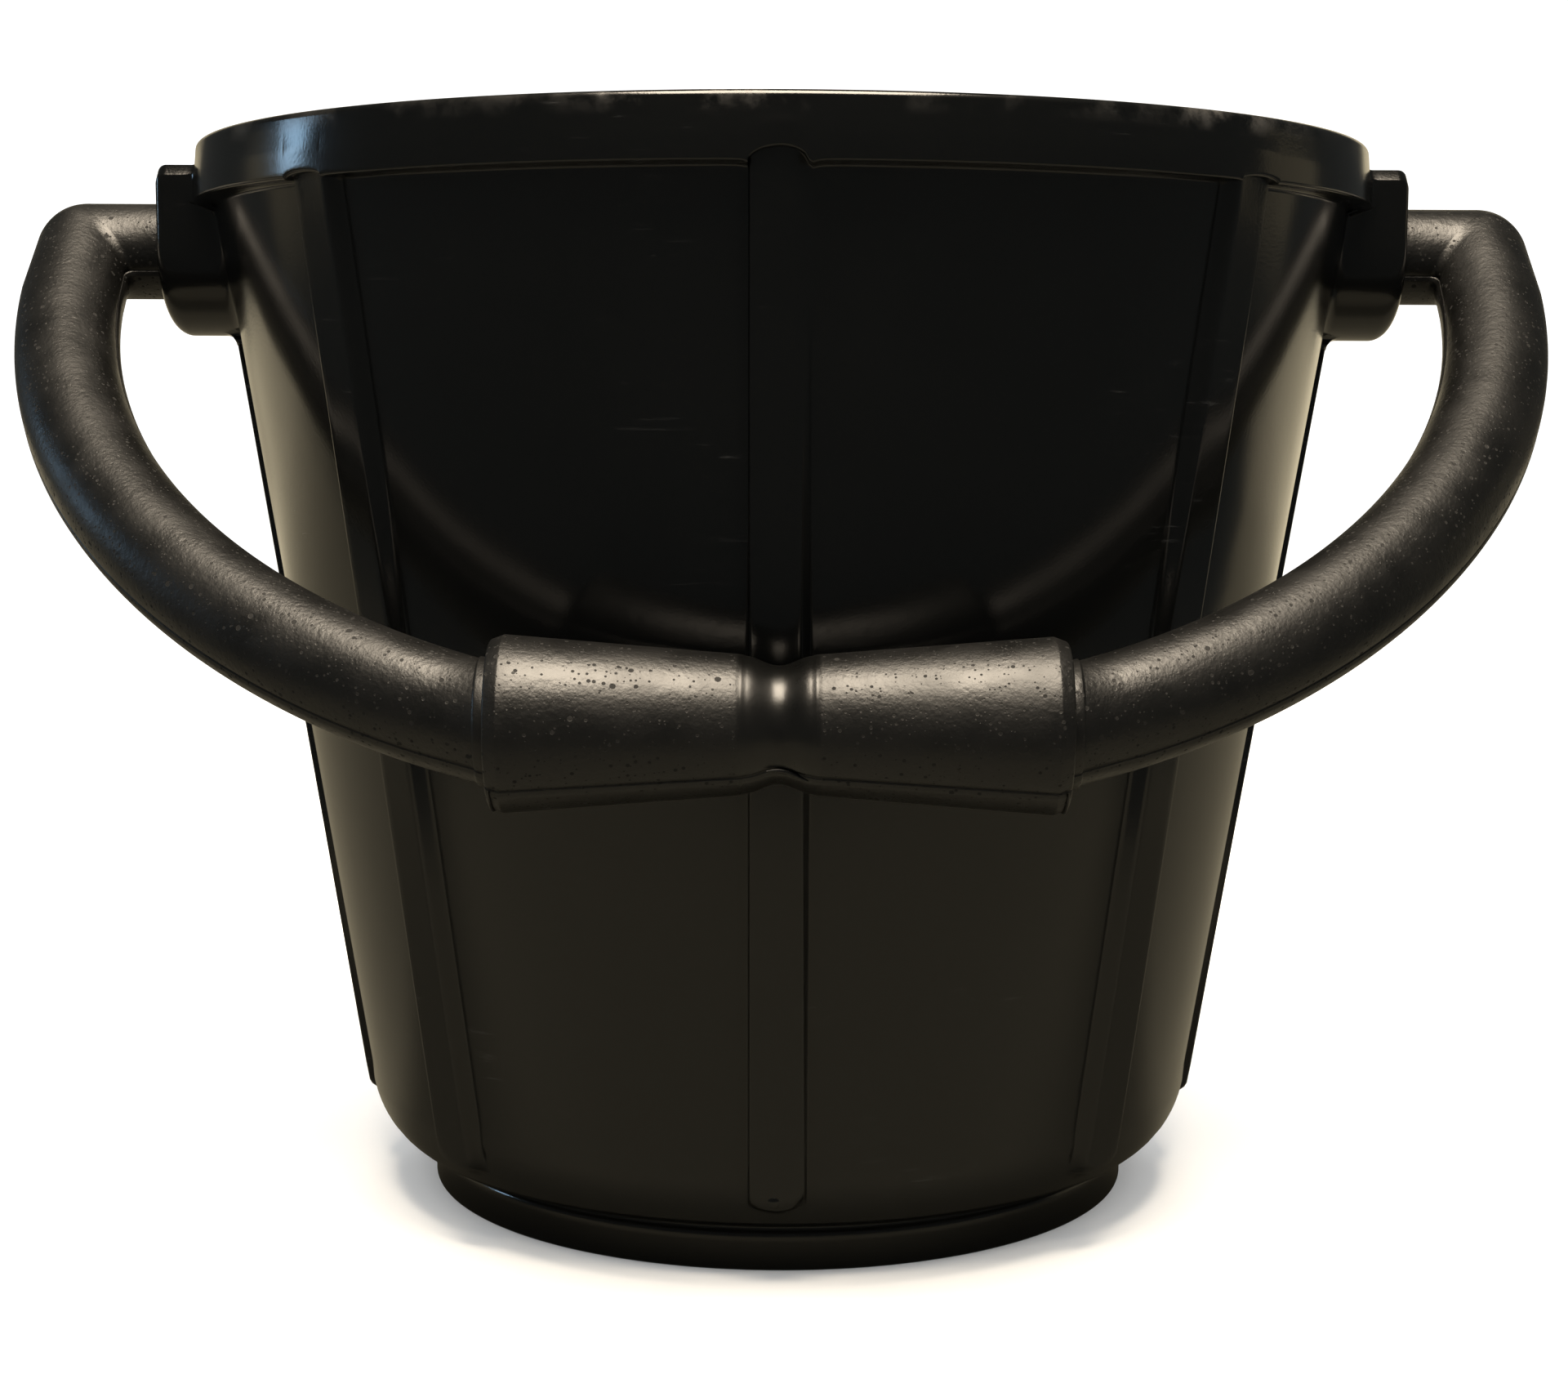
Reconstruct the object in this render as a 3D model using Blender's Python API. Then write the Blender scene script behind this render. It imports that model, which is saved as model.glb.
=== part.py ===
"""A round feed bucket: one ribbed moulding with two pivot lugs, and the one-piece bail handle that
turns in them. Metres, +Z up. The origin is the centre of the base, on the plane it stands on."""

import math

import bmesh
import bpy
from mathutils import Matrix

MM = 0.001
SEGMENTS = 72
BURIED = 1.5 * MM  # how far a joined feature reaches into the wall behind it

# Bucket shell
HEIGHT = 294.5 * MM
WALL_BASE_RADIUS = 113.9 * MM  # where the wall's outer line would meet the ground
WALL_SLOPE = 0.1614
WALL_THICKNESS = 3.2 * MM
RIM_RADIUS = 165 * MM
RIM_NOSE = 2 * MM
RIM_LOWER_EDGE = 278.6 * MM
RIM_LOWER_ROUND = 1 * MM
RIM_FILLET = 1.2 * MM
LIP_ROUND = 1.5 * MM

# Floor, corner and foot ring
CORNER_TOP = 36 * MM
CORNER_BOTTOM = 12.8 * MM
CORNER_INNER_RADIUS = 101.8 * MM
FLOOR_UNDERSIDE = 3.5 * MM
FLOOR_THICKNESS = 3.5 * MM
FLOOR_FILLET = 4 * MM
FOOT_RADIUS = 101.3 * MM
FOOT_GROOVE = 0.9 * MM
FOOT_EDGE_ROUND = 1.3 * MM
SKIRT_THICKNESS = 3.3 * MM
HUB_RADIUS = 15 * MM
WEB_THICKNESS = 3 * MM
WEB_RELIEF = 1 * MM

# Wall ribs
RIB_COUNT = 8
RIB_WIDTH = 14.6 * MM
RIB_PROUD = 3.5 * MM
RIB_BOTTOM = 21 * MM
RIB_TOE = 3.5 * MM
RIB_TOP = 282 * MM

# Pivot lugs
PIVOT_HEIGHT = 267.5 * MM
LUG_FACE = 175 * MM
LUG_BURIED = 2.6 * MM
LUG_HALF_WIDTH = 24 * MM
LUG_TOP = 290.3 * MM
LUG_TOP_BEVEL = 3 * MM
LUG_SIDE_ROUND = 3 * MM
LUG_TOE_LENGTH = 5.5 * MM
LUG_TOE_RISE = 6 * MM
SOCKET_DEPTH = 15.5 * MM
SOCKET_CLEARANCE = 0.35 * MM

# Bail handle, in its own plane
BAIL_LEAN = math.radians(53.6)  # from hanging straight down, towards the front
STUB_RADIUS = 13.6 * MM
STUB_END_CLEARANCE = 0.5 * MM
TUBE_RADIUS = 14.15 * MM
ARC_RADIUS = 200 * MM
ARC_DROP = 8.3 * MM  # arc centre below the pivot axis
ELBOW_NOSE = 1.15  # outer corner radius, as a share of the tube's radius
ELBOW_FILLET = 2.5 * MM
GRIP_DROP = 196.8 * MM
GRIP_HALF_LENGTH = 66.8 * MM
GRIP_END_RADIUS = 20.7 * MM
GRIP_END_BEVEL = 2 * MM
GRIP_NECK_RADIUS = 16.3 * MM
GRIP_NECK = 8.2 * MM
WAIST_RADIUS = 13.8 * MM
BAIL_SIDES = 24


def clear_scene():
    for old in list(bpy.data.objects):
        bpy.data.objects.remove(old, do_unlink=True)


def material(name, colour, roughness):
    made = bpy.data.materials.new(name)
    made.use_nodes = True
    shader = made.node_tree.nodes["Principled BSDF"]
    shader.inputs["Base Color"].default_value = (*colour, 1)
    shader.inputs["Roughness"].default_value = roughness
    shader.inputs["Metallic"].default_value = 0
    return made


def object_from(bm, name, look=None):
    """A smooth-shaded object from the closed mesh bm, with its faces turned outwards."""
    bmesh.ops.recalc_face_normals(bm, faces=bm.faces)
    mesh = bpy.data.meshes.new(name)
    bm.to_mesh(mesh)
    bm.free()
    if look:
        mesh.materials.append(look)
    mesh.shade_smooth()
    mesh.set_sharp_from_angle(angle=math.radians(35))
    made = bpy.data.objects.new(name, mesh)
    bpy.context.scene.collection.objects.link(made)
    return made


def helper(bm, name):
    """An object that only shapes another one."""
    made = object_from(bm, name)
    made.hide_render = True
    made.display_type = "WIRE"
    return made


def combine(target, other, operation):
    change = target.modifiers.new(other.name, "BOOLEAN")
    change.operation = operation
    change.solver = "EXACT"
    change.object = other


def arc(centre, radii, start, end, steps):
    """Points (r, z) on an ellipse about centre, from one angle to another in degrees."""
    angles = [math.radians(start + (end - start) * i / steps) for i in range(steps + 1)]
    return [
        (centre[0] + radii[0] * math.cos(a), centre[1] + radii[1] * math.sin(a)) for a in angles
    ]


def bridge(bm, rings):
    """Quads between successive rings of vertices, each ring closed on itself."""
    for lower, upper in zip(rings, rings[1:]):
        for i in range(len(lower)):
            j = (i + 1) % len(lower)
            bm.faces.new((lower[i], lower[j], upper[j], upper[i]))


def loft(bm, outlines):
    """A closed solid through outlines that all have the same number of points."""
    rings = [[bm.verts.new(point) for point in outline] for outline in outlines]
    bridge(bm, rings)
    bm.faces.new(rings[0])
    bm.faces.new(rings[-1])


def lathe(section):
    """A turned solid from half a section that starts and ends on the axis."""
    bm = bmesh.new()
    turns = [2 * math.pi * i / SEGMENTS for i in range(SEGMENTS)]
    rings = [
        [bm.verts.new((r * math.cos(a), r * math.sin(a), z)) for a in turns]
        for r, z in section[1:-1]
    ]
    bridge(bm, rings)
    for (_, z), ring in ((section[0], rings[0]), (section[-1], rings[-1])):
        tip = bm.verts.new((0, 0, z))
        for i in range(SEGMENTS):
            bm.faces.new((tip, ring[i], ring[(i + 1) % SEGMENTS]))
    return bm


def wall_radius(z):
    return WALL_BASE_RADIUS + WALL_SLOPE * z


def foot_section():
    """From the axis, under the hub, floor and foot ring, up to the groove above the ring."""
    inside = FOOT_RADIUS - SKIRT_THICKNESS
    edge = (FOOT_RADIUS - FOOT_EDGE_ROUND, FOOT_EDGE_ROUND)
    groove = FOOT_RADIUS - FOOT_GROOVE
    return [
        (0, 0),
        (HUB_RADIUS, 0),
        (HUB_RADIUS, FLOOR_UNDERSIDE),
        (inside, FLOOR_UNDERSIDE),
        (inside, 0),
        *arc(edge, (FOOT_EDGE_ROUND, FOOT_EDGE_ROUND), -90, 0, 2),
        (FOOT_RADIUS, CORNER_BOTTOM - 2 * FOOT_GROOVE),
        (groove, CORNER_BOTTOM - FOOT_GROOVE),
    ]


def corner_section(inset, steps):
    """The round from the foot up into the wall, inset from the outer surface."""
    rise = CORNER_TOP - CORNER_BOTTOM - inset
    reach = wall_radius(CORNER_TOP) - CORNER_INNER_RADIUS
    centre = (CORNER_INNER_RADIUS - inset, CORNER_TOP)
    return arc(centre, (reach, rise), -90, 0, steps)


def well_section():
    """From the axis, over the floor and up the inside of the foot, to the inner corner."""
    floor = FLOOR_UNDERSIDE + FLOOR_THICKNESS
    inside = FOOT_RADIUS - SKIRT_THICKNESS
    centre = (inside - FLOOR_FILLET, floor + FLOOR_FILLET)
    return [(0, floor), *arc(centre, (FLOOR_FILLET, FLOOR_FILLET), -90, 0, 3)]


def rim_section():
    """From the top of the wall's outside, round the rim, to the lip of the inside."""
    under = RIM_LOWER_EDGE - RIM_FILLET
    root = wall_radius(under)
    nose = (RIM_RADIUS - RIM_NOSE, HEIGHT - RIM_NOSE)
    lip = wall_radius(HEIGHT) - WALL_THICKNESS
    lower = (RIM_RADIUS - RIM_LOWER_ROUND, RIM_LOWER_EDGE + RIM_LOWER_ROUND)
    return [
        *arc((root + RIM_FILLET, under), (RIM_FILLET, RIM_FILLET), 180, 90, 2),
        *arc(lower, (RIM_LOWER_ROUND, RIM_LOWER_ROUND), -90, 0, 2),
        *arc(nose, (RIM_NOSE, RIM_NOSE), 0, 90, 2),
        *arc((lip + LIP_ROUND, HEIGHT - LIP_ROUND), (LIP_ROUND, LIP_ROUND), 100, 180, 1),
    ]


def body_section():
    inside = well_section() + corner_section(WALL_THICKNESS, 5)
    return [*foot_section(), *corner_section(0, 6), *rim_section(), *reversed(inside)]


def turned(bm, before, angle):
    """Turns what was added to bm since it had so many vertices about the axis."""
    bm.verts.ensure_lookup_table()
    bmesh.ops.rotate(bm, verts=bm.verts[before:], matrix=Matrix.Rotation(angle, 3, "Z"))


def add_rib(bm, angle):
    """A flat-faced wall rib with a sloping toe, buried a little in the wall."""
    before = len(bm.verts)
    stations = (
        (RIB_BOTTOM, 0),
        (RIB_BOTTOM + RIB_TOE, RIB_PROUD),
        (RIB_TOP, RIB_PROUD),
    )
    outlines = []
    for z, proud in stations:
        wall = wall_radius(z)
        back, front = wall - BURIED, wall + proud
        half = RIB_WIDTH / 2
        outlines.append(
            [(back, -half, z), (front, -half, z), (front, half, z), (back, half, z)]
        )
    loft(bm, outlines)
    turned(bm, before, angle)


def add_web(bm, angle):
    """A radial web under the floor, from the hub to the foot ring."""
    before = len(bm.verts)
    near = HUB_RADIUS - BURIED
    far = FOOT_RADIUS - SKIRT_THICKNESS + BURIED
    half = WEB_THICKNESS / 2
    levels = (WEB_RELIEF, FLOOR_UNDERSIDE + BURIED)
    loft(
        bm,
        [[(near, -half, z), (far, -half, z), (far, half, z), (near, half, z)] for z in levels],
    )
    turned(bm, before, angle)


def edge_cut(to_face, length, depth):
    """How deep an elliptical edge round cuts, at a distance behind the face it runs out on."""
    if to_face >= length:
        return 0
    return depth * (1 - math.sqrt(1 - ((length - to_face) / length) ** 2))


def lug_outline(x):
    """The lug's cross-section: bevelled top, upright sides and a half-round underside."""
    to_face = LUG_FACE - x
    side = edge_cut(to_face, LUG_SIDE_ROUND, LUG_SIDE_ROUND)
    toe = edge_cut(to_face, LUG_TOE_LENGTH, LUG_TOE_RISE)
    half = LUG_HALF_WIDTH - side
    top = LUG_TOP - side
    under = arc((0, PIVOT_HEIGHT), (half, LUG_HALF_WIDTH - toe), 0, -180, 14)
    crown = [
        (-half, top - LUG_TOP_BEVEL),
        (-half + LUG_TOP_BEVEL, top),
        (half - LUG_TOP_BEVEL, top),
        (half, top - LUG_TOP_BEVEL),
    ]
    return [(x, y, z) for y, z in under + crown]


def add_lug(bm, side):
    rounded = [LUG_TOE_LENGTH * (1 - math.sin(math.radians(a))) for a in (0, 22, 45, 68, 90)]
    outlines = [lug_outline(LUG_FACE - back) for back in rounded]
    root = [(wall_radius(z) - LUG_BURIED, y, z) for _, y, z in outlines[0]]
    loft(bm, [[(side * x, y, z) for x, y, z in outline] for outline in (root, *outlines)])


def add_socket(bm, side):
    """The blind bore that a stub turns in, cut from beyond the lug's face."""
    radius = STUB_RADIUS + SOCKET_CLEARANCE
    outlines = []
    for x in (LUG_FACE - SOCKET_DEPTH, LUG_FACE + BURIED):
        ring = arc((0, PIVOT_HEIGHT), (radius, radius), 0, 360, BAIL_SIDES)[:-1]
        outlines.append([(side * x, y, z) for y, z in ring])
    loft(bm, outlines)


def bucket_body():
    """The whole moulding: shell, ribs, lugs and foot ring."""
    look = material("black_moulding", (0.012, 0.012, 0.012), 0.3)
    body = object_from(lathe(body_section()), "bucket_body", look)
    ribs, lugs, sockets = bmesh.new(), bmesh.new(), bmesh.new()
    for i in range(RIB_COUNT):
        angle = 2 * math.pi * i / RIB_COUNT
        add_rib(ribs, angle)
        add_web(ribs, angle)
    for side in (1, -1):
        add_lug(lugs, side)
        add_socket(sockets, side)
    combine(body, helper(ribs, "ribs_and_webs"), "UNION")
    combine(body, helper(lugs, "lugs"), "UNION")
    combine(body, helper(sockets, "sockets"), "DIFFERENCE")
    return body


def around(radius):
    """(outward, sideways) offsets round a tube, starting on the outside of the bend."""
    for i in range(BAIL_SIDES):
        angle = 2 * math.pi * i / BAIL_SIDES
        yield radius * math.cos(angle), radius * math.sin(angle)


def stub_ring(x):
    return [(x, side, out) for out, side in around(STUB_RADIUS)]


def elbow_ring(turn):
    """One ring of the right-angled elbow. Each lengthwise line turns its own corner: wide on the
    outside, where the tube ends in a rounded nose, and tight on the inside, along the mitre."""
    ring = []
    for (out, side), (stub_out, stub_side) in zip(around(TUBE_RADIUS), around(STUB_RADIUS)):
        radius = max(ELBOW_NOSE * out, ELBOW_FILLET)
        x = ARC_RADIUS + out - radius * (1 - math.sin(turn))
        drop = radius * (1 - math.cos(turn)) - stub_out
        widened = stub_side + (side - stub_side) * math.sin(turn)
        ring.append((x - sagitta(ARC_RADIUS + out, drop), widened, -drop))
    return ring


def sagitta(radius, drop):
    """How far the bail's arc has curved inwards, that far below the pivot axis."""
    return radius - math.sqrt(radius**2 - (drop - ARC_DROP) ** 2)


def arc_ring(angle):
    return [
        (
            (ARC_RADIUS + out) * math.cos(angle),
            side,
            -ARC_DROP - (ARC_RADIUS + out) * math.sin(angle),
        )
        for out, side in around(TUBE_RADIUS)
    ]


def grip_entry_ring():
    """Where the curved tube runs into the flat end of the grip."""
    ring = []
    for out, side in around(TUBE_RADIUS):
        radius = ARC_RADIUS + out
        fall = math.sqrt(radius**2 - GRIP_HALF_LENGTH**2)
        ring.append((GRIP_HALF_LENGTH, side, -ARC_DROP - fall))
    return ring


def grip_ring(x, radius):
    return [(x, side, -GRIP_DROP - out) for out, side in around(radius)]


def waist_radius(x):
    """The smooth hollow between the two cones."""
    rise = (1 - math.cos(math.pi * x / GRIP_NECK)) / 2
    return WAIST_RADIUS + (GRIP_NECK_RADIUS - WAIST_RADIUS) * rise


def half_bail_rings():
    """Rings from the stub's end, round one arm, to the middle of the waist."""
    rings = [stub_ring(LUG_FACE - SOCKET_DEPTH + STUB_END_CLEARANCE)]
    rings += [elbow_ring(math.radians(90 * i / 5)) for i in range(6)]
    rings += [arc_ring(math.radians(5 + 63 * i / 12)) for i in range(13)]
    rings.append(grip_entry_ring())
    rings.append(grip_ring(GRIP_HALF_LENGTH, GRIP_END_RADIUS - GRIP_END_BEVEL))
    rings.append(grip_ring(GRIP_HALF_LENGTH - GRIP_END_BEVEL, GRIP_END_RADIUS))
    rings += [grip_ring(x, waist_radius(x)) for x in (GRIP_NECK * i / 4 for i in (4, 3, 2, 1, 0))]
    return rings


def bail_handle():
    """Stubs, elbows, arms and grip in one moulding, with its origin on the pivot axis."""
    half = half_bail_rings()
    other = [[(-x, y, z) for x, y, z in ring] for ring in reversed(half[:-1])]
    bm = bmesh.new()
    loft(bm, half + other)
    look = material("foamed_black_plastic", (0.03, 0.028, 0.025), 0.5)
    handle = object_from(bm, "bail_handle", look)
    handle.location = (0, 0, PIVOT_HEIGHT)
    handle.rotation_euler = (-BAIL_LEAN, 0, 0)
    return handle


clear_scene()
bucket_body()
bail_handle()
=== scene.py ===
"""A black feed bucket with a foamed bail handle resting forwards over its front."""

import math

import bpy
import numpy as np
from mathutils import Matrix, Vector


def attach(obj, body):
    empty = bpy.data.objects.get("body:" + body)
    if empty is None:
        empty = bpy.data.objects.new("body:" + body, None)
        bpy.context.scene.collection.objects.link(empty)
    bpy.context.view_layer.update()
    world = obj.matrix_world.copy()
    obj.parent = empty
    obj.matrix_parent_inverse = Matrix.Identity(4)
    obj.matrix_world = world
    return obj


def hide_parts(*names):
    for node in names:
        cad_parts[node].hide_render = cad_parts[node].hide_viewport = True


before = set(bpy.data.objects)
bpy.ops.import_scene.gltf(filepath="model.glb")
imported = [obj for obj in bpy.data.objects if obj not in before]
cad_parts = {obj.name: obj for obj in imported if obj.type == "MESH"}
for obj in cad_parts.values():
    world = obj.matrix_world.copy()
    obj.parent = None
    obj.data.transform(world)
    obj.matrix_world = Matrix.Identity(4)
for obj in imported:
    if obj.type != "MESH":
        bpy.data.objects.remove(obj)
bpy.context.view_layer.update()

MM = 0.001

# Bucket profile, in millimetres from the axis and from the ground
WALL_BASE, WALL_SLOPE, WALL_THICK = 113.9, 0.1614, 3.2
HEIGHT = 294.5
RIM_RADIUS, RIM_EDGE, RIM_ROUND, RIM_FILLET = 165.0, 278.6, 1.0, 1.2
FACE_LOW, FACE_LEAN, NOSE = 284.5, 0.7, 1.8
CORNER_TOP, CORNER_BOTTOM, CORNER_IN = 36.0, 12.8, 101.8
FOOT_RADIUS, FOOT_THICK, FOOT_ROUND = 101.3, 3.3, 1.3
RECESS, FLOOR, FLOOR_FILLET, HUB = 3.5, 7.0, 4.0, 15.0
RIBS, RIB_PROUD, RIB_TOE, RIB_HALF = 8, 3.5, 21.0, 7.5
COLUMN_REFERENCE = 100.0  # below this radius the columns run straight to the axis

# The rounded corner between a rib's top and the rim: how deep its arch is, how far its crown is
# lifted, the lip just beside the rib, and how strong it is on the ribs at 45 degrees
ARCH_DEPTH, ARCH_LIFT, ARCH_LIP, ARCH_LIP_FADE, ARCH_WEAK = 3.8, 3.2, 0.6, 1.2, 0.4
ARCH_HALF, ARCH_HALF_SLOPED, TOE_ARCH = 7.6, 6.3, 3.6

# Gate mark on the front rib
NUB_X, NUB_Z, NUB_RADIUS, NUB_PROUD = -0.9, 24.9, 1.7, 0.9

# Pivot lugs
PIVOT = 267.5
LUG_FACE, LUG_HALF, LUG_TOP, LUG_BEVEL = 175.0, 24.0, 290.3, 3.0
LUG_SIDE_ROUND, LUG_TOE_LENGTH, LUG_TOE_RISE = 3.0, 5.5, 6.0
LUG_CROWN_ROUND, LUG_FILLET, LUG_TOP_FILLET, LUG_BURIED = 0.35, 3.4, 1.6, 1.2
BORE, BORE_DEPTH = 13.95, 15.5

# Bail handle, hanging in its own plane
LEAN = math.radians(53.6)
STUB, TUBE, ARC, ARC_DROP = 13.6, 14.15, 200.0, 8.3
ELBOW_NOSE, ELBOW_FILLET = 1.15, 2.5
GRIP_DROP, GRIP_HALF, GRIP_END, GRIP_NECK = 196.8, 66.8, 20.7, 16.3
GRIP_BEVEL, NECK, NECK_STEP, WAIST = 3.4, 8.2, 0.25, 13.8

# Marks of the handle's mould
SEAM = math.radians(8)  # where the two mould halves met, round from the outside of the bend
MISMATCH, MISMATCH_FADE = 0.42, 9.0  # the lower mould half stands proud of the upper by this much
STEP_SOFTNESS = 0.09
GROOVE_DEPTH, GROOVE_OFFSET, GROOVE_WIDTH = 0.3, 0.3, 0.4


# ---------------------------------------------------------------- mesh helpers

def arc(centre, radii, start, end, steps):
    """Points on an ellipse, between two angles in degrees."""
    a = np.radians(np.linspace(start, end, steps + 1))
    return np.stack([centre[0] + radii[0] * np.cos(a), centre[1] + radii[1] * np.sin(a)], 1)


def line(a, b, steps, ends=(True, False)):
    """Points from a to b. Either end can be left out."""
    points = np.linspace(a, b, steps + 1)
    return points[0 if ends[0] else 1: None if ends[1] else -1]


def tube_faces(rings, sides):
    """Quads between successive closed rings."""
    i = np.arange(rings - 1)[:, None] * sides
    j = np.arange(sides)[None, :]
    k = (j + 1) % sides
    quads = np.stack([i + j, i + k, i + k + sides, i + j + sides], 2).reshape(-1, 4)
    return quads.tolist()


def closed_tube(rings, tips):
    """(points, faces) of a closed surface: rings, and a point that closes each end."""
    rings = np.asarray(rings)
    count, sides = rings.shape[:2]
    points = np.concatenate([rings.reshape(-1, 3), np.asarray(tips, float).reshape(2, 3)])
    faces = tube_faces(count, sides)
    last = (count - 1) * sides
    for j in range(sides):
        k = (j + 1) % sides
        faces.append([k, j, count * sides])
        faces.append([last + j, last + k, count * sides + 1])
    return points, faces


def merged(*solids):
    """One (points, faces) out of several."""
    points, faces, offset = [], [], 0
    for solid_points, solid_faces in solids:
        points.append(solid_points)
        faces += [[v + offset for v in face] for face in solid_faces]
        offset += len(solid_points)
    return np.concatenate(points), faces


def outward(solid):
    """The solid with its faces turned outwards."""
    points, faces = solid
    tri = np.array([[f[0], f[1], f[2]] for f in faces] + [[f[0], f[2], f[-1]] for f in faces])
    volume = np.linalg.det(points[tri]).sum()
    return (points, [f[::-1] for f in faces]) if volume < 0 else solid


def piece(name, solid, look, body, node=None):
    """A solid in millimetres as a visible mesh that rides on a body."""
    points, faces = solid
    mesh = bpy.data.meshes.new(name)
    mesh.from_pydata((points * MM).tolist(), [], faces)
    mesh.validate()
    mesh.materials.append(look)
    mesh.shade_smooth()
    mesh.set_sharp_from_angle(angle=math.radians(50))
    made = bpy.data.objects.new(name, mesh)
    bpy.context.scene.collection.objects.link(made)
    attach(made, body)
    if node:
        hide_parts(node)
    return made


# ---------------------------------------------------------------- bucket shell

def wall(z):
    return WALL_BASE + WALL_SLOPE * z


def rim_radius(z):
    """The rim's outer face, upright at first and then leaning in a little."""
    return RIM_RADIUS - FACE_LEAN * np.clip((z - FACE_LOW) / (HEIGHT - NOSE - FACE_LOW), 0, 1)


def shell_profile():
    """Stations from the axis underneath, round the outside, to the axis inside. Columns: radius
    and height of the turned surface, radius and height on a rib, and how far the rim's rounded
    corner above a rib moves that station."""
    inside = FOOT_RADIUS - FOOT_THICK
    under = np.concatenate([
        arc((HUB - 0.6, 0.6), (0.6, 0.6), -90, 0, 4),
        arc((HUB + 1.0, RECESS - 1.0), (1.0, 1.0), 180, 90, 4),
        line((20, RECESS), (inside - 1.0, RECESS), 5, (True, False)),
        arc((inside - 1.0, RECESS - 1.0), (1.0, 1.0), 90, 0, 4),
        arc((inside + 0.5, 0.5), (0.5, 0.5), 180, 270, 3),
        arc((FOOT_RADIUS - FOOT_ROUND, FOOT_ROUND), (FOOT_ROUND, FOOT_ROUND), -90, 0, 6),
        line((FOOT_RADIUS, 3.0), (FOOT_RADIUS - 0.1, 9.4), 4, (True, True)),
        arc((FOOT_RADIUS + 0.25, 11.6), (1.3, 1.5), 240, 150, 6),
    ])
    reach = wall(CORNER_TOP) - CORNER_IN
    corner = arc((CORNER_IN, CORNER_TOP), (reach, CORNER_TOP - CORNER_BOTTOM), -88, -50, 8)
    toe_z = np.array([RIB_TOE, 21.1, 21.7, 22.9, 24.3, 26, 28, 31])
    toe_x = CORNER_IN + reach * np.sqrt(1 - ((CORNER_TOP - toe_z) / (CORNER_TOP - CORNER_BOTTOM)) ** 2)
    corner = corner[corner[:, 1] < RIB_TOE - 0.3]
    under_rim = RIM_EDGE - RIM_FILLET
    wall_z = np.concatenate([np.linspace(CORNER_TOP, 268, 26), [270, 272, 274, 275.6, 277]])
    fillet = arc((wall(under_rim) + RIM_FILLET, under_rim), (RIM_FILLET, RIM_FILLET), 180, 90, 5)
    edge = arc((RIM_RADIUS - RIM_ROUND, RIM_EDGE + RIM_ROUND), (RIM_ROUND, RIM_ROUND), -90, 0, 8)
    face = [(rim_radius(z), z) for z in (280.4, 281.8, 283.2, 284.5, 285.8, 287.2, 289, 290.8)]
    nose = arc((rim_radius(HEIGHT) - NOSE, HEIGHT - NOSE), (NOSE, NOSE), 4, 86, 9)
    lip = arc((wall(HEIGHT) - WALL_THICK + 1.2, HEIGHT - 1.2), (1.2, 1.2), 96, 180, 6)
    inner_wall = np.array([(wall(z) - WALL_THICK, z) for z in np.linspace(288, CORNER_TOP, 22)])
    bend = arc((CORNER_IN - WALL_THICK, CORNER_TOP),
               (reach, CORNER_TOP - CORNER_BOTTOM - WALL_THICK), 0, -84, 9)[1:]
    well = np.concatenate([
        arc((inside + 1.0, 14.6), (1.0, 1.0), 100, 180, 3),
        arc((inside - FLOOR_FILLET, FLOOR + FLOOR_FILLET), (FLOOR_FILLET, FLOOR_FILLET), 0, -90, 7),
        line((80, FLOOR), (8, FLOOR), 6, (True, True)),
    ])

    rows = [(r, z, r, z, 0) for r, z in np.concatenate([under, corner])]
    toe_r = [toe_x[0], 117.2, 118.9, 120.6, wall(24.3) + RIB_PROUD]
    for i, (r, z) in enumerate(zip(toe_x, toe_z)):
        rows.append((r, z, toe_r[i] if i < len(toe_r) else wall(z) + RIB_PROUD, z, 0))
    for z in wall_z:
        rows.append((wall(z), z, wall(z) + RIB_PROUD, z, np.clip((z - 269) / 9, 0, 1) ** 2))
    for r, z in fillet:
        rows.append((r, z, wall(z) + RIB_PROUD, z, 1))
    for r, z in edge:
        rows.append((r, z, r, z, 1))
    for r, z in np.concatenate([face, nose]):
        rows.append((r, z, r, z, np.clip((289.5 - z) / 6, 0, 1)))
    for r, z in np.concatenate([lip, inner_wall, bend, well]):
        rows.append((r, z, r, z, 0))
    return np.array(rows, float)


def bent(a, b, c, cut, steps):
    """A rounded corner at b, on the way from a to c, as a quadratic curve."""
    a, b, c = (np.array(p, float) for p in (a, b, c))
    start = b + (a - b) / np.linalg.norm(a - b) * cut
    end = b + (c - b) / np.linalg.norm(c - b) * cut
    s = np.linspace(0, 1, steps + 1)[:, None]
    return (1 - s) ** 2 * start + 2 * s * (1 - s) * b + s**2 * end


def half_rib(face, base, edge_cut, crease_cut):
    """(distance from the rib's middle, height) over half a rib and a little of the wall."""
    top, corner, foot, away = (0, RIB_PROUD), (face, RIB_PROUD), (base, 0), (RIB_HALF + 2.6, 0)
    edge = bent(top, corner, foot, edge_cut, 6)
    crease = bent(corner, foot, away, crease_cut, 6)
    return np.concatenate([
        line(top, edge[0], 4), edge, line(edge[-1], crease[0], 3, (False, False)), crease,
        line(crease[-1], away, 4, (False, True)),
    ])


def arch(t, half):
    """How far the arch over a rib has come down, at distance t from the rib's middle."""
    return 1 - np.sqrt(1 - np.minimum(t / half, 1) ** 2)


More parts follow.
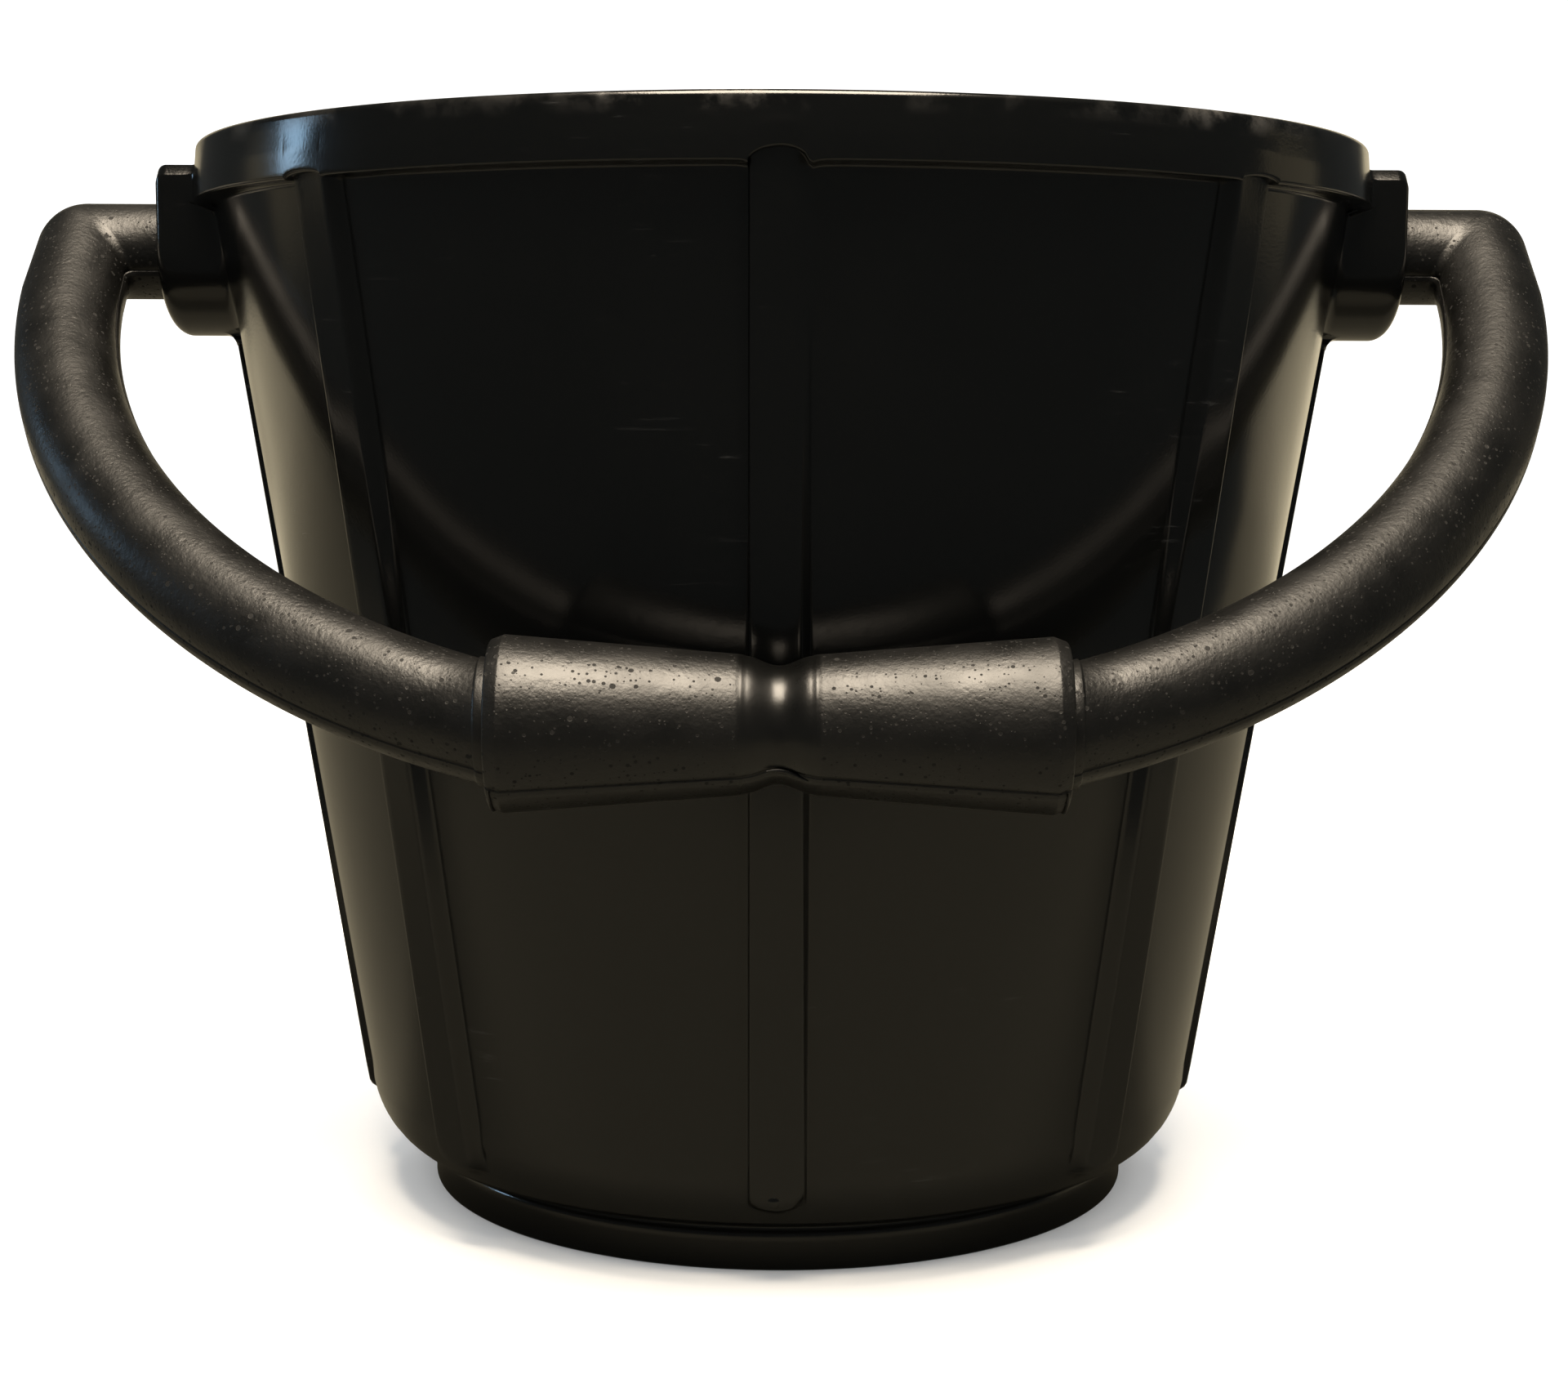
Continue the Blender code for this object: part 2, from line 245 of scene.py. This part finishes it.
def rim_corner(t, bow, strength):
    """How far the corner under the rim is lowered over a rib and just beside it."""
    beside = ARCH_LIP * np.exp(-(t - RIB_HALF) / ARCH_LIP_FADE)
    return strength * np.where(t > RIB_HALF, beside, ARCH_DEPTH * bow - ARCH_LIFT)


def shell():
    """The bucket without its lugs. Each rib is two halves, and a half's first column is its middle."""
    stations = shell_profile()
    steep = half_rib(7.05, 7.35, 0.75, 0.9)
    drafted = half_rib(5.9, 7.5, 0.9, 1.0)  # the flank that faces the front
    sloped = half_rib(3.9, 7.5, 1.0, 0.6)
    half_sector = math.pi / RIBS
    between = np.linspace(0, 1, 15)[1:-1]
    rings = []
    for r, z, rib_r, rib_z, pull in stations:
        lean = min(max((z - 15) / 265, 0), 1)
        leaning = steep * (1 - lean) + sloped * lean
        reference = max(r, COLUMN_REFERENCE)
        ring = []
        for k in range(RIBS):
            middle = 2 * math.pi * k / RIBS - math.pi / 2  # the first rib is at the front
            left = drafted if k in (1, 2) else steep
            right = leaning if k == 0 else drafted if k in (RIBS - 1, RIBS - 2) else steep
            for side, half in ((-1, left), (1, right)):
                t, h = half[:, 0], half[:, 1] / RIB_PROUD
                turn = np.arcsin(t / reference)
                x, y = r * np.cos(turn), r * np.sin(turn)
                x = np.where(abs(rib_r - r) > 1e-6, x * (1 - h) + rib_r * h, x)
                bow = arch(t, ARCH_HALF_SLOPED if half is leaning else ARCH_HALF)
                drop = rim_corner(t, bow, 1 if k % 4 == 0 else ARCH_WEAK)
                toe = np.clip((31 - z) / 8, 0, 1) if z > RIB_TOE + 0.05 else 0
                height = z * (1 - h) + (rib_z + TOE_ARCH * bow * toe) * h - drop * pull
                a = np.arctan2(y, x)
                reach = np.hypot(x, y)
                end = a[-1]
                rest = end + (half_sector - end) * between
                a = np.concatenate([a, rest])
                reach = np.concatenate([reach, np.full(len(rest), r)])
                height = np.concatenate([height, np.full(len(rest), z)])
                if side < 0:
                    a, reach, height = -a[::-1], reach[::-1], height[::-1]
                else:  # the middle column belongs to the left half, the border one to this half
                    a = np.append(a[1:], half_sector)
                    reach, height = np.append(reach[1:], r), np.append(height[1:], z)
                ring.append(np.stack(
                    [reach * np.cos(middle + a), reach * np.sin(middle + a), height], 1))
        rings.append(np.concatenate(ring))
    return closed_tube(rings, [(0, 0, stations[0][1]), (0, 0, stations[-1][1])])


def beam(start, end, half, low, high):
    """A web as a closed bar with rounded lower edges, along +X."""
    r = 0.5
    section = np.concatenate([
        arc((half - r, low + r), (r, r), 0, -90, 3),
        arc((-half + r, low + r), (r, r), -90, -180, 3),
        [(-half, high), (half, high)],
    ])
    rings = [[(x, y, z) for y, z in section] for x in np.linspace(start, end, 6)]
    middle = (low + high) / 2
    return closed_tube(rings, [(start, 0, middle), (end, 0, middle)])


def spun(solid, turn):
    points, faces = solid
    c, s = math.cos(turn), math.sin(turn)
    x, y, z = points.T
    return np.stack([x * c - y * s, x * s + y * c, z], 1), faces


def nub():
    """The little round gate mark low on the front rib."""
    front = -(wall(NUB_Z) + RIB_PROUD - 0.35)
    turn = np.linspace(0, 2 * math.pi, 24, endpoint=False)
    rings = []
    for a in np.radians([0, 20, 38, 55, 72]):
        out, radius = NUB_PROUD * math.sin(a), NUB_RADIUS * math.cos(a)
        rings.append(np.stack([NUB_X + radius * np.cos(turn), np.full(len(turn), front - out),
                               NUB_Z + radius * np.sin(turn)], 1))
    return closed_tube(rings, [(NUB_X, front + 0.4, NUB_Z), (NUB_X, front - NUB_PROUD - 0.03, NUB_Z)])


# ---------------------------------------------------------------- pivot lugs

def edge_cut(back, length, depth):
    """How far a rounded edge has drawn in, at a distance behind the lug's outer face."""
    return 0.0 if back >= length else depth * (1 - math.sqrt(1 - ((length - back) / length) ** 2))


def lug_outline(back):
    """(y, z) round the lug, at a distance behind its outer face."""
    side = edge_cut(back, LUG_SIDE_ROUND, LUG_SIDE_ROUND)
    toe = edge_cut(back, LUG_TOE_LENGTH, LUG_TOE_RISE)
    half, top = LUG_HALF - side, LUG_TOP - side
    low, inner = top - LUG_BEVEL, half - LUG_BEVEL
    corners = [(-half, PIVOT), (-half, low), (-inner, top), (inner, top), (half, low), (half, PIVOT)]
    crown = [bent(corners[i - 1], corners[i], corners[i + 1], LUG_CROWN_ROUND, 4) for i in range(1, 5)]
    return np.concatenate([
        arc((0, PIVOT), (half, LUG_HALF - toe), 0, -180, 56),
        line(corners[0], crown[0][0], 8, (False, False)), crown[0], crown[1],
        line(crown[1][-1], crown[2][0], 16, (False, False)), crown[2], crown[3],
        line(crown[3][-1], corners[5], 8, (False, False)),
    ])


def body_x(y, z):
    """How far out the bucket's surface is beside its left or right rib."""
    edge = np.clip(RIM_EDGE + RIM_ROUND - z, 0, RIM_ROUND)
    rim = rim_radius(z) - RIM_ROUND + np.sqrt(RIM_ROUND**2 - edge**2)
    radius = np.where(z > RIM_EDGE, rim, wall(z))
    x = np.sqrt(radius**2 - y**2)
    on_rib = np.clip((RIB_HALF + 0.6 - np.abs(y)) / 0.8, 0, 1) * (z <= RIM_EDGE)
    return x + on_rib * np.maximum(wall(z) + RIB_PROUD - x, 0)


def lug(side):
    """One lug from inside the wall out to its face, and down its blind socket."""
    full = lug_outline(LUG_TOE_LENGTH)
    y, z = full.T
    tangent = np.roll(full, -1, 0) - np.roll(full, 1, 0)
    normal = np.stack([-tangent[:, 1], tangent[:, 0]], 1)
    normal *= np.sign((normal * (full - (0, PIVOT))).sum())  # away from the pivot
    normal /= np.linalg.norm(normal, axis=1)[:, None]
    radius = np.where(z > LUG_TOP - LUG_BEVEL, LUG_TOP_FILLET, LUG_FILLET)
    rings = []
    for b in np.radians([90, 78, 66, 54, 42, 30, 18, 8, 0]):
        out = full + normal * (radius * (1 - math.cos(b)))[:, None]
        rings.append(np.column_stack(
            [body_x(out[:, 0], out[:, 1]) + radius * (1 - math.sin(b)), out]))
    rings.insert(0, rings[0] - (LUG_BURIED, 0, 0))
    root = rings[-1][:, 0]
    straight = LUG_FACE - LUG_TOE_LENGTH
    for s in (0.25, 0.5, 0.75):
        rings.append(np.column_stack([root + (straight - root) * s, full]))
    for a in np.radians(np.linspace(0, 90, 16)):
        back = LUG_TOE_LENGTH * (1 - math.sin(a))
        rings.append(np.column_stack([np.full(len(full), LUG_FACE - back), lug_outline(back)]))
    face = rings[-1][:, 1:] - (0, PIVOT)
    ray = face / np.linalg.norm(face, axis=1)[:, None]
    for r, x in ((BORE + 0.35, LUG_FACE), (BORE + 0.1, LUG_FACE - 0.1), (BORE, LUG_FACE - 0.4),
                 (BORE, LUG_FACE - 6), (BORE, LUG_FACE - BORE_DEPTH)):
        rings.append(np.column_stack([np.full(len(full), x), ray * r + (0, PIVOT)]))
    rings = np.array(rings) * (side, 1, 1)
    tips = [(side * 158, 0, PIVOT), (side * (LUG_FACE - BORE_DEPTH), 0, PIVOT)]
    return closed_tube(rings, tips)


# ---------------------------------------------------------------- bail handle

def section_angles():
    """Angles round the bail, close together beside the two mould seams."""
    near = np.radians([-6, -3.2, -1.6, -0.8, -0.3, 0.3, 0.8, 1.6, 3.2, 6])
    gaps = np.linspace(math.radians(6), math.pi - math.radians(6), 40)[1:-1]
    half = np.concatenate([near, gaps])
    return SEAM + np.concatenate([half, half + math.pi])


ANGLES = section_angles()


def around(radius, seam=1.0):
    """(outward, sideways) offsets round a tube, with its mould seams."""
    turn = (ANGLES - SEAM + math.pi) % (2 * math.pi) - math.pi
    below = 1 / (1 + np.exp(-np.sin(turn) * radius / STEP_SOFTNESS))
    from_seam = np.minimum(np.abs(turn), math.pi - np.abs(turn)) * radius
    step = MISMATCH * (below - 1) * np.exp(-from_seam / MISMATCH_FADE)
    groove = GROOVE_DEPTH * np.exp(-((from_seam - GROOVE_OFFSET) / GROOVE_WIDTH) ** 2)
    r = radius + seam * (step - groove)
    return r * np.cos(ANGLES), r * np.sin(ANGLES)


def sagitta(radius, drop):
    """How far the arm's arc has bent in, at a depth below the pivots."""
    return radius - np.sqrt(radius**2 - (drop - ARC_DROP) ** 2)


def stub_ring(x):
    out, side = around(STUB)
    return np.column_stack([np.full(len(out), x), side, out])


def elbow_ring(turn):
    out, side = around(TUBE)
    stub_out, stub_side = around(STUB)
    radius = np.maximum(ELBOW_NOSE * out, ELBOW_FILLET)
    x = ARC + out - radius * (1 - math.sin(turn))
    drop = radius * (1 - math.cos(turn)) - stub_out
    widened = stub_side + (side - stub_side) * math.sin(turn)
    return np.column_stack([x - sagitta(ARC + out, drop), widened, -drop])


def arc_ring(angle):
    out, side = around(TUBE)
    return np.column_stack([(ARC + out) * math.cos(angle), side,
                            -ARC_DROP - (ARC + out) * math.sin(angle)])


def collar_ring(x, extra):
    """The curved tube cut square across, near the grip's flat end."""
    out, side = around(TUBE + extra)
    fall = np.sqrt((ARC + out) ** 2 - x**2)
    return np.column_stack([np.full(len(out), x), side, -ARC_DROP - fall])


def grip_ring(x, radius, seam=1.0):
    out, side = around(radius, seam)
    return np.column_stack([np.full(len(out), x), side, -GRIP_DROP - out])


def leaned(points):
    """The handle's own plane turned about the pivots to where the handle rests."""
    c, s = math.cos(-LEAN), math.sin(-LEAN)
    x, y, z = points[..., 0], points[..., 1], points[..., 2]
    return np.stack([x, y * c - z * s, y * s + z * c + PIVOT], -1)


def waist_radius(x):
    rise = (1 - math.cos(math.pi * x / NECK)) / 2
    return WAIST + (GRIP_NECK - NECK_STEP - WAIST) * rise


def half_bail():
    """Rings from the right stub round the elbow, down the arm and along the grip to its waist."""
    rings = [stub_ring(x) for x in (160.2, 160.6, 168, 175, 180)]
    rings[0][:, 1:] *= 0.97
    rings += [elbow_ring(math.radians(a)) for a in np.linspace(0, 90, 25)]
    rings += [arc_ring(math.radians(a)) for a in np.linspace(5, 67, 64)]
    rings += [collar_ring(x, extra) for x, extra in
              ((69.75, 0), (69.5, 0.15), (69.3, 0.45), (69.0, 0.55), (67.4, 0.6), (66.9, 0.62))]
    end = np.concatenate([
        arc((GRIP_HALF - 1.0, GRIP_END - 1.9), (1.0, 1.0), 0, 60, 4),
        arc((GRIP_HALF - GRIP_BEVEL, GRIP_END - 1.0), (1.0, 1.0), 62, 90, 3),
    ])
    rings += [grip_ring(GRIP_HALF, r, 0.5) for r in (17.4, 18.0)]
    rings += [grip_ring(x, r) for x, r in end]
    slope = (GRIP_END - GRIP_NECK) / (GRIP_HALF - GRIP_BEVEL - NECK)
    cone = np.linspace(GRIP_HALF - GRIP_BEVEL - 2, NECK + 0.9, 27)
    rings += [grip_ring(x, GRIP_NECK + slope * (x - NECK)) for x in cone]
    rings += [grip_ring(NECK + x, GRIP_NECK + r) for x, r in
              ((0.5, 0.02), (0.15, -0.05), (-0.3, -0.22))]
    rings += [grip_ring(x, waist_radius(x)) for x in np.linspace(NECK - 0.9, 0, 12)]
    return rings


BEAD = [(math.cos(v), math.sin(v)) for v in np.linspace(0, 2 * math.pi, 8, endpoint=False)]


def round_grip(radius, turn):
    """(y, z) at a distance from the grip's axis, turned from the outside of the bend."""
    return radius * math.sin(turn), -GRIP_DROP - radius * math.cos(turn)


def strand(rings):
    """A thin closed strand through rings given in the handle's own plane."""
    rings = np.array(rings)
    return outward(closed_tube(leaned(rings), leaned(rings[[0, -1]].mean(1))))


def end_flash(side):
    """The thin crescent of flash round the lower part of one end of the grip."""
    start, sweep = SEAM - 0.03, math.radians(62) + 0.03
    rings = []
    for step in np.linspace(0, 1, 26):
        thick = 0.12 + 0.38 * math.sin(math.pi * step) ** 0.6
        rings.append([
            (side * (GRIP_HALF - 0.9 + thick * c),
             *round_grip(GRIP_END - 0.75 + thick * s, start + sweep * step)) for c, s in BEAD])
    return strand(rings)


def waist_flash():
    """The sliver of flash that crosses the waist a little aslant."""
    rings = []
    for step in np.linspace(0, 1, 22):
        x = 3.4 - 9.6 * step
        thick = 0.1 + 0.5 * math.sin(math.pi * step) ** 0.7
        turn = SEAM - math.radians(5 - 8 * step)
        ring = []
        for c, s in BEAD:
            y, z = round_grip(waist_radius(x) + 0.1 + thick * s, turn)
            ring.append((0.6 - x, y - thick * c, z))
        rings.append(ring)
    return strand(rings)


def bail():
    """The whole handle: a half and its mirror image, which share the ring at the waist."""
    half = half_bail()
    other = [ring * (-1, 1, 1) for ring in half[-2::-1]]
    rings = leaned(np.array(half + other))
    return closed_tube(rings, [rings[0].mean(0), rings[-1].mean(0)])


# ---------------------------------------------------------------- materials

def node(tree, kind, settings=(), inputs=()):
    made = tree.nodes.new(kind)
    for name, value in dict(settings).items():
        setattr(made, name, value)
    for name, value in dict(inputs).items():
        if isinstance(value, bpy.types.NodeSocket):
            tree.links.new(value, made.inputs[name])
        else:
            made.inputs[name].default_value = value
    return made


def noise(tree, place, scale, detail=3.0, rough=0.55, stretch=None):
    if stretch:
        place = node(tree, "ShaderNodeMapping", {}, {"Vector": place, "Scale": stretch}).outputs[0]
    return node(tree, "ShaderNodeTexNoise", {}, {
        "Vector": place, "Scale": scale, "Detail": detail, "Roughness": rough}).outputs["Fac"]


def ramp(tree, value, low, high, out_low=0.0, out_high=1.0):
    return node(tree, "ShaderNodeMapRange", {"interpolation_type": "SMOOTHSTEP"}, {
        "Value": value, "From Min": low, "From Max": high,
        "To Min": out_low, "To Max": out_high}).outputs["Result"]


def math_node(tree, operation, a, b=0.0):
    return node(tree, "ShaderNodeMath", {"operation": operation}, {0: a, 1: b}).outputs[0]


def stretch_of(tree, value, start, full, full_end, end):
    """1 between full and full_end, fading to 0 at start and end."""
    return math_node(tree, "MINIMUM", ramp(tree, value, start, full), ramp(tree, value, end, full_end))


def mix_colour(tree, factor, a, b):
    made = node(tree, "ShaderNodeMix", {"data_type": "RGBA"})
    for name, value in (("Factor", factor), ("A", a), ("B", b)):
        socket = next(s for s in made.inputs if s.name == name and (
            s.type == "RGBA" if name != "Factor" else s.type == "VALUE"))
        if isinstance(value, bpy.types.NodeSocket):
            tree.links.new(value, socket)
        else:
            socket.default_value = value if name == "Factor" else (*value, 1)
    return next(s for s in made.outputs if s.type == "RGBA")


def bump(tree, height, strength, distance, normal=None):
    inputs = {"Height": height, "Strength": strength, "Distance": distance}
    if normal is not None:
        inputs["Normal"] = normal
    return node(tree, "ShaderNodeBump", {}, inputs).outputs["Normal"]


def new_material(name):
    made = bpy.data.materials.new(name)
    made.use_nodes = True
    tree = made.node_tree
    shader = tree.nodes["Principled BSDF"]
    place = node(tree, "ShaderNodeTexCoord").outputs["Object"]
    return made, tree, shader, place


def black_moulding():
    """Glossy black plastic, with faint scuffs on it and dust on top of the rim."""
    made, tree, shader, place = new_material("black_moulding")
    axes = node(tree, "ShaderNodeSeparateXYZ", {}, {"Vector": place}).outputs
    cloud = noise(tree, place, 14, 4)
    fine = noise(tree, place, 1300, 2)
    scuffs = ramp(tree, noise(tree, place, 60, 5, 0.7, (1, 1, 14)), 0.60, 0.74)
    patches = ramp(tree, noise(tree, place, 22, 3), 0.50, 0.68)
    scuffed = math_node(tree, "MULTIPLY", scuffs, patches)
    high = ramp(tree, axes["Z"], 0.2885, 0.2935)
    dusty = ramp(tree, noise(tree, place, 45, 5, 0.65), 0.44, 0.66)
    front = stretch_of(tree, axes["X"], -0.055, -0.035, 0.014, 0.024)
    right = stretch_of(tree, axes["X"], 0.088, 0.097, 0.112, 0.124)
    where = math_node(tree, "MAXIMUM", math_node(tree, "MAXIMUM", front, right), 0.25)
    dust = math_node(tree, "MULTIPLY", math_node(tree, "MULTIPLY", high, dusty), where)
    base = mix_colour(tree, cloud, (0.0010, 0.0011, 0.0011), (0.0017, 0.0018, 0.0017))
    base = mix_colour(tree, math_node(tree, "MULTIPLY", scuffed, 0.25), base, (0.05, 0.05, 0.048))
    base = mix_colour(tree, math_node(tree, "MULTIPLY", dust, 0.5), base, (0.075, 0.07, 0.062))
    tree.links.new(base, shader.inputs["Base Color"])
    rough = ramp(tree, cloud, 0.3, 0.7, 0.13, 0.18)
    rough = math_node(tree, "ADD", rough, math_node(tree, "MULTIPLY", scuffed, 0.15))
    rough = math_node(tree, "ADD", rough, math_node(tree, "MULTIPLY", dust, 0.3))
    tree.links.new(rough, shader.inputs["Roughness"])
    waves = noise(tree, place, 26, 2)
    normal = bump(tree, waves, 0.10, 0.002)
    normal = bump(tree, fine, 0.10, 0.0002, normal)
    tree.links.new(normal, shader.inputs["Normal"])
    return made


def foamed_plastic():
    """Duller black plastic with a leathery grain and three sizes of pits, each pit coloured a little
    darker as painted shade.
    """
    made, tree, shader, place = new_material("foamed_black_plastic")
    axes = node(tree, "ShaderNodeSeparateXYZ", {}, {"Vector": place}).outputs
    across = math_node(tree, "ABSOLUTE", axes["X"])
    skin = ramp(tree, across, 0.0088, 0.0100)  # the waist between the cones is smoother
    cloud = noise(tree, place, 70, 4)
    grain = noise(tree, place, 900, 3, 0.6)
    leather = noise(tree, place, 420, 2, 0.6)
    pits = None
    for scale, share, size in ((900, 0.55, 0.30), (560, 0.50, 0.30), (300, 0.70, 0.24)):
        cells = node(tree, "ShaderNodeTexVoronoi", {}, {"Vector": place, "Scale": scale})
        pick = node(tree, "ShaderNodeSeparateColor", {}, {"Color": cells.outputs["Color"]})
        chosen = ramp(tree, pick.outputs[0], share, share + 0.02)
        reach = ramp(tree, pick.outputs[1], 0, 1, size * 0.4, size)
        inside = math_node(tree, "SUBTRACT", reach, cells.outputs["Distance"])
        spot = ramp(tree, inside, 0.0, size * 0.25)
        spot = math_node(tree, "MULTIPLY", spot, chosen)
        pits = spot if pits is None else math_node(tree, "MAXIMUM", pits, spot)
    pits = math_node(tree, "MULTIPLY", pits, skin)
    base = mix_colour(tree, cloud, (0.0010, 0.0011, 0.0010), (0.0018, 0.0018, 0.0016))
    # Painted shade: each pit is coloured a little darker than the plastic around it.
    base = mix_colour(tree, pits, base, (0.0008, 0.0008, 0.0008))
    tree.links.new(base, shader.inputs["Base Color"])
    rough = ramp(tree, cloud, 0.3, 0.7, 0.36, 0.46)
    rough = math_node(tree, "ADD", rough, math_node(tree, "MULTIPLY", pits, 0.4))
    plain = math_node(tree, "MULTIPLY", math_node(tree, "SUBTRACT", skin, 1.0), 0.10)
    rough = math_node(tree, "ADD", rough, plain)
    tree.links.new(rough, shader.inputs["Roughness"])
    amount = math_node(tree, "MULTIPLY", math_node(tree, "ADD", skin, 0.25), 0.8)
    texture = math_node(tree, "ADD", grain, math_node(tree, "MULTIPLY", leather, 1.2))
    normal = bump(tree, math_node(tree, "MULTIPLY", texture, amount), 0.32, 0.0003)
    normal = bump(tree, math_node(tree, "MULTIPLY", pits, -1.0), 0.3, 0.0003, normal)
    tree.links.new(normal, shader.inputs["Normal"])
    return made


# ---------------------------------------------------------------- the object

black = black_moulding()
foamed = foamed_plastic()
web = beam(HUB - 0.5, FOOT_RADIUS - FOOT_THICK + 0.6, 1.5, 1.0, RECESS + 0.8)
webs = [spun(web, 2 * math.pi * i / RIBS) for i in range(RIBS)]
moulding = merged(*map(outward, (shell(), nub(), *webs)))
piece("bucket_moulding", moulding, black, "bucket", "bucket_body")
for side, name in ((-1, "pivot_lug_left"), (1, "pivot_lug_right")):
    piece(name, outward(lug(side)), black, "bucket")
handle = merged(outward(bail()), end_flash(-1), end_flash(1), waist_flash())
piece("bail", handle, foamed, "handle", "bail_handle")


# ---------------------------------------------------------------- stage, light and camera

WARM = (1.0, 0.86, 0.58)
FOOT_SHADE, FOOT_SHADE_END = 0.095, 0.155  # round the foot the table's glow fades in between these
FAR_START, FAR_END = 0.9, 2.2  # and from here to here it changes to its far strength
HANDLE_SHADE_Y, HANDLE_SHADE, HANDLE_SHADE_END = -0.055, 0.02, 0.08


def glow_strength(tree, near, far):
    """Dim round the foot and in a band below the handle, as if both threw a shadow."""
    place = node(tree, "ShaderNodeTexCoord").outputs["Object"]
    away = node(tree, "ShaderNodeVectorMath", {"operation": "LENGTH"}, {0: place}).outputs["Value"]
    strength = math_node(tree, "ADD", ramp(tree, away, FOOT_SHADE, FOOT_SHADE_END, 0.05, near),
                         ramp(tree, away, FAR_START, FAR_END, 0, far - near))
    y = node(tree, "ShaderNodeSeparateXYZ", {}, {"Vector": place}).outputs["Y"]
    from_band = math_node(tree, "ABSOLUTE", math_node(tree, "ADD", y, -HANDLE_SHADE_Y))
    band = ramp(tree, from_band, HANDLE_SHADE, HANDLE_SHADE_END, 0.45, 1)
    return math_node(tree, "MULTIPLY", strength, band)


def emitter(name, corners, near, far):
    """A flat warm glowing sheet that only shows in reflections, where it stands in for the room."""
    mesh = bpy.data.meshes.new(name)
    mesh.from_pydata(corners, [], [range(len(corners))])
    look = bpy.data.materials.new(name)
    look.use_nodes = True
    tree = look.node_tree
    tree.nodes.clear()
    strength = glow_strength(tree, near, far)
    glow = node(tree, "ShaderNodeEmission", {}, {"Color": (*WARM, 1), "Strength": strength})
    output = node(tree, "ShaderNodeOutputMaterial")
    tree.links.new(glow.outputs[0], output.inputs[0])
    mesh.materials.append(look)
    made = bpy.data.objects.new(name, mesh)
    bpy.context.scene.collection.objects.link(made)
    for ray in ("camera", "diffuse", "transmission", "volume_scatter", "shadow"):
        setattr(made, "visible_" + ray, False)


def table_outline():
    """The glowing part of the table: both sides open the same way near the bucket and far off."""
    near = [(280, -410), (430, -260), (480, -40)]
    far = [(3800, 3600), (5200, 7500)]
    right = near + [(800, 300), (1190, 600), (1440, 620), (1930, 1170)] + far
    left = [(-x, y) for x, y in near + [(1060, 190), (1930, 1150)] + far]
    return [(x * MM, y * MM, 0.0005) for x, y in left[:1] + right + left[:0:-1]]


def area_light(name, place, aim, size, power, colour):
    data = bpy.data.lights.new(name, "AREA")
    data.shape = "RECTANGLE"
    data.size, data.size_y = size
    data.energy = power
    data.color = colour
    made = bpy.data.objects.new(name, data)
    made.location = place
    towards = Vector(aim) - Vector(place)
    made.rotation_euler = towards.to_track_quat("-Z", "Y").to_euler()
    made.visible_camera = False
    bpy.context.scene.collection.objects.link(made)


def stage():
    """A plain pale floor that reflections leave out, and a plain world."""
    mesh = bpy.data.meshes.new("floor")
    half = 12.0
    corners = [(-half, -half, 0), (half, -half, 0), (half, half, 0), (-half, half, 0)]
    mesh.from_pydata(corners, [], [range(4)])
    look = bpy.data.materials.new("pale_floor")
    look.use_nodes = True
    shader = look.node_tree.nodes["Principled BSDF"]
    shader.inputs["Base Color"].default_value = (0.92, 0.92, 0.91, 1)
    shader.inputs["Roughness"].default_value = 0.9
    shader.inputs["Specular IOR Level"].default_value = 0.0
    mesh.materials.append(look)
    floor = bpy.data.objects.new("floor", mesh)
    bpy.context.scene.collection.objects.link(floor)
    floor.visible_glossy = False
    world = bpy.data.worlds.new("studio")
    bpy.context.scene.world = world
    world.use_nodes = True
    tree = world.node_tree
    tree.nodes.clear()
    path = node(tree, "ShaderNodeLightPath").outputs
    glossy = node(tree, "ShaderNodeBackground", {}, {"Color": (0.95, 1.0, 0.95, 1), "Strength": 0.055})
    plain = node(tree, "ShaderNodeBackground", {}, {"Color": (1, 1, 1, 1), "Strength": 1.3})
    both = node(tree, "ShaderNodeMixShader", {}, {
        0: path["Is Glossy Ray"], 1: plain.outputs[0], 2: glossy.outputs[0]})
    output = node(tree, "ShaderNodeOutputWorld")
    tree.links.new(both.outputs[0], output.inputs[0])


stage()
emitter("table_glow", table_outline(), 0.32, 0.85)
for side, name, strength in ((-1, "left", 0.6), (1, "right", 0.95)):
    emitter("backdrop_" + name, [(x, 2.5, z) for x, z in (
        (0, 0), (side * 1.55, 0), (side * 1.55, 1.6), (0, 1.6))], strength, strength)
    emitter("wing_" + name, [(side * x, y, z) for x, y, z in (
        (2.6, 0.35, 0), (2.9, 1.5, 0), (2.9, 1.5, 0.8), (2.6, 0.35, 0.8))], 0.32, 0.32)
area_light("key", (0, -0.48, 1.55), (0, -0.1, 0.2), (0.9, 1.0), 72, (1, 0.86, 0.68))
area_light("window", (-2.1, 0.38, 0.62), (0, 0, 0.26), (0.22, 0.4), 2.5, (0.45, 0.72, 1.0))

TILT, ROLL = 0.112, 0.0045
camera_data = bpy.data.cameras.new("camera")
camera_data.sensor_width = 36.0
camera_data.lens = 58.48
camera = bpy.data.objects.new("camera", camera_data)
camera.matrix_world = (
    Matrix.Translation((0.00117, -0.74399, 0.22371))
    @ Matrix.Rotation(math.pi / 2 - TILT, 4, "X")
    @ Matrix.Rotation(ROLL, 4, "Z")
)
bpy.context.scene.collection.objects.link(camera)
bpy.context.scene.camera = camera
bpy.context.scene.view_settings.view_transform = "Standard"
